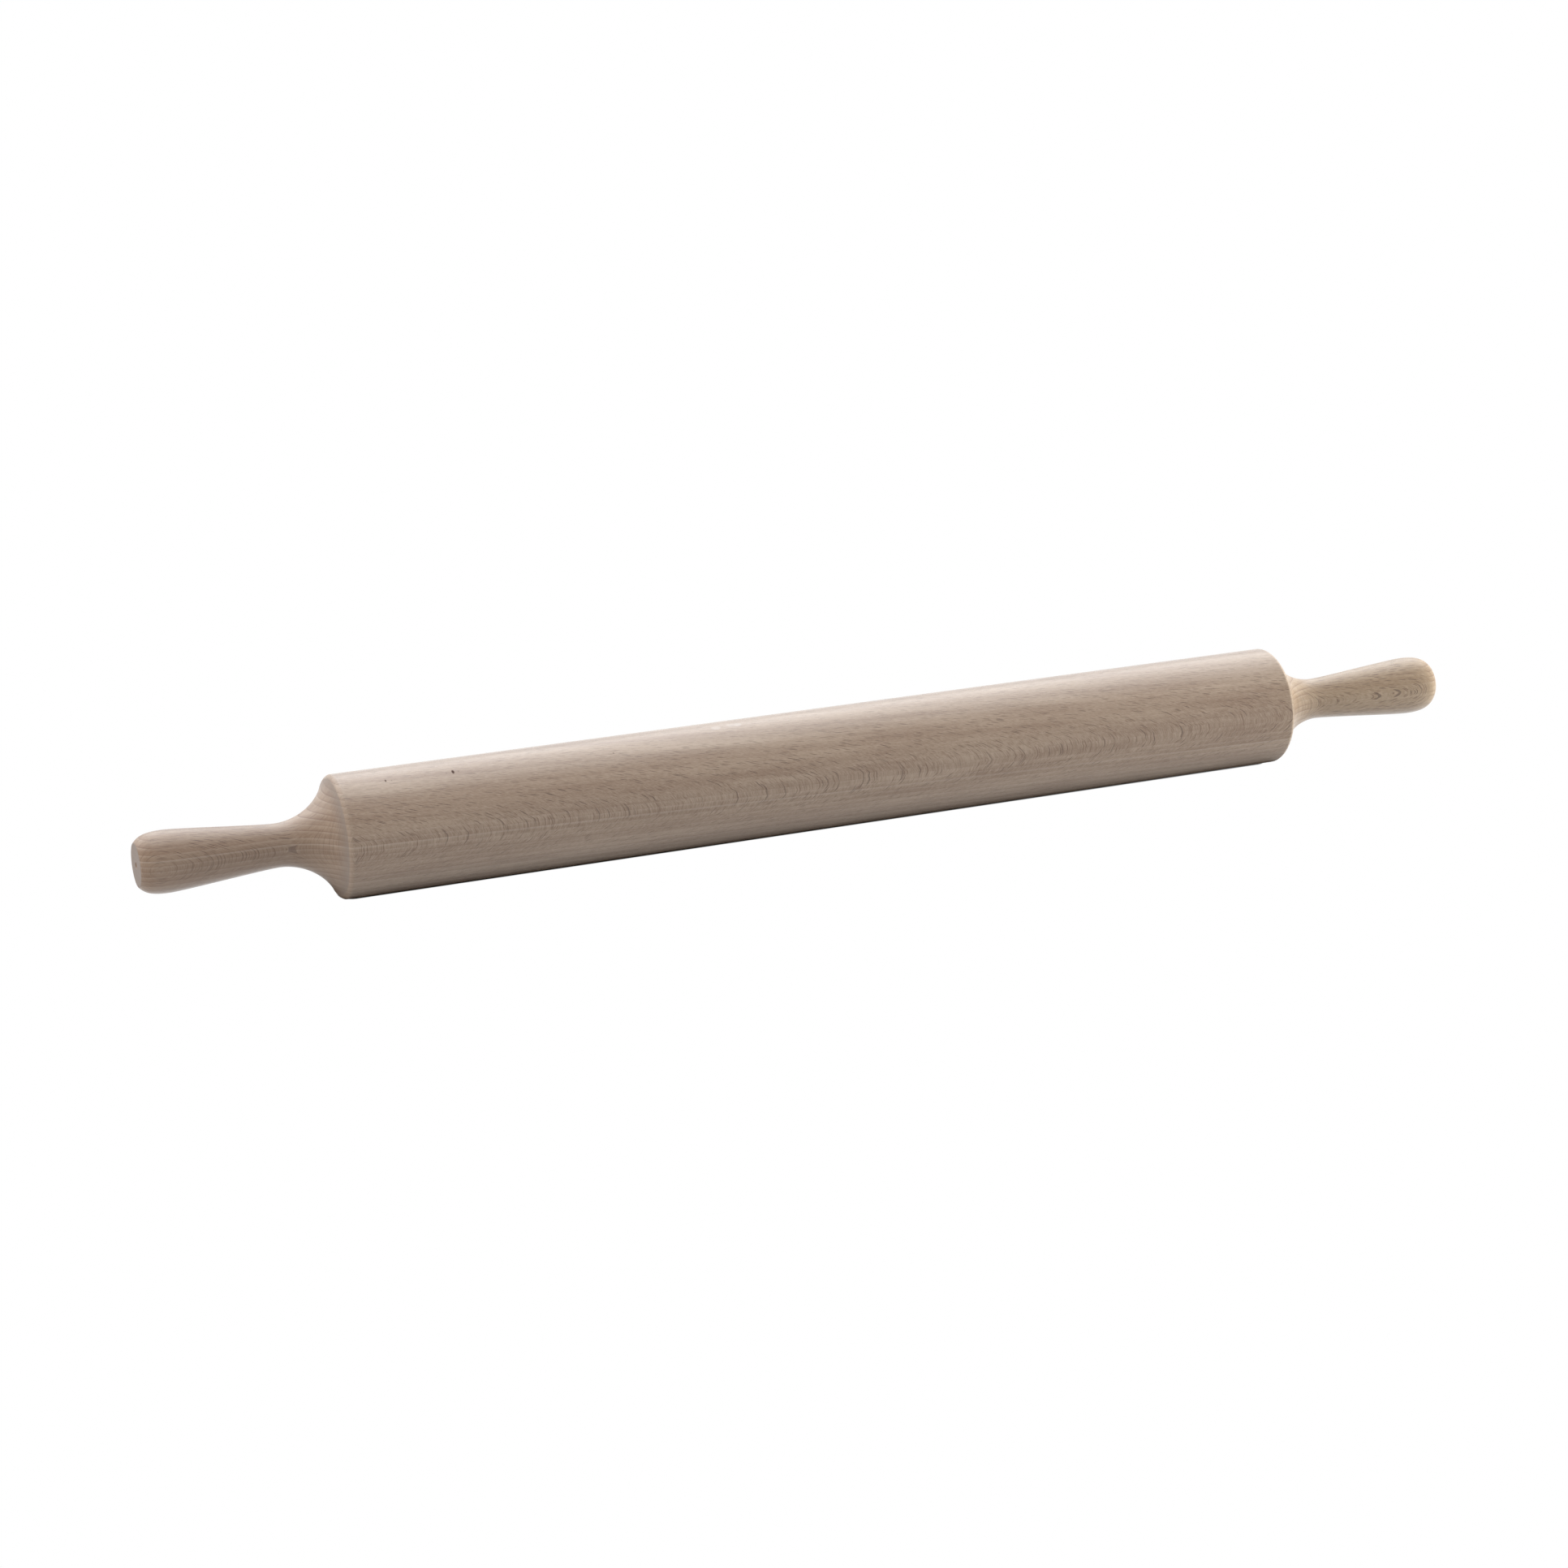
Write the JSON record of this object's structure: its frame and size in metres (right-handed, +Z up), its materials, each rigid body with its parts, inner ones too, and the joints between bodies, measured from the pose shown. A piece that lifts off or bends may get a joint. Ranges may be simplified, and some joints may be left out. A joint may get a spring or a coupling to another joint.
{
  "type": "rolling pin",
  "caption": "Wooden rolling pin with a long straight barrel, coved shoulders and fixed swelling handles, for rolling out dough.",
  "frame": {"origin": "on the worktop, straight below the middle of the barrel", "axes": "+X along the pin towards the right-hand handle, +Y away from the viewer, +Z up from the worktop"},
  "size_m": [0.6986, 0.06, 0.06],
  "materials": {
    "beech": "satin clear lacquer on turned beech"
  },
  "bodies": {
    "root": {"barrel": "beech", "left_handle": "beech", "right_handle": "beech"}
  },
  "joints": []
}
